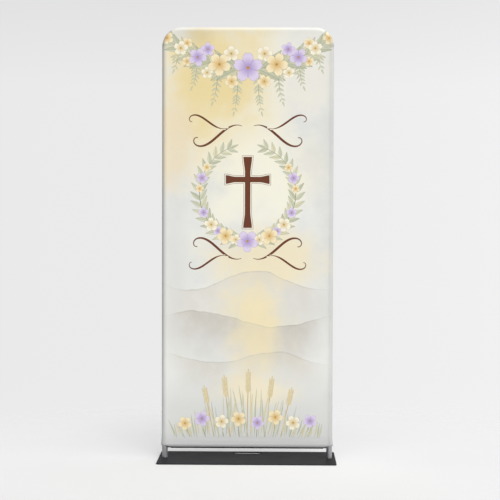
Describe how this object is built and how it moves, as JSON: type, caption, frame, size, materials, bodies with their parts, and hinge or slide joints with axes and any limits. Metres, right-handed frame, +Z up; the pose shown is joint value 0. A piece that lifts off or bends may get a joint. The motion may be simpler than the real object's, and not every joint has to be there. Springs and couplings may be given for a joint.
{
  "type": "church banner with stand",
  "caption": "Tall printed knit sleeve stretched over a round aluminium tube frame with rounded top corners, standing on a flat dark steel base plate.",
  "frame": {"origin": "centre of the base plate's underside, which is the bottom centre of the bounding box", "axes": "+Z up, +X to the right of a person who faces the print, the printed face looks along -Y"},
  "size_m": [0.94, 0.4, 2.289],
  "materials": {
    "base_steel": "satin powder coat",
    "spigot_steel": "zinc plated",
    "frame_tube": "satin anodised",
    "printed_knit": "matt knit with a dye print in cream, honey, sage, lilac and brown",
    "plain_knit": "matt knit, plain pale grey",
    "zip_tape": "woven tape",
    "zip_chain": "moulded coil"
  },
  "bodies": {
    "root": {"base_plate": "base_steel", "left_spigot": "spigot_steel", "right_spigot": "spigot_steel", "left_upright": "frame_tube", "right_upright": "frame_tube", "left_top_bend": "frame_tube", "right_top_bend": "frame_tube", "top_rail": "frame_tube", "lower_rail": "frame_tube", "front_panel": "printed_knit", "back_panel": "plain_knit", "zip_tape_front": "zip_tape", "zip_tape_back": "zip_tape", "zip_chain": "zip_chain"}
  },
  "joints": []
}
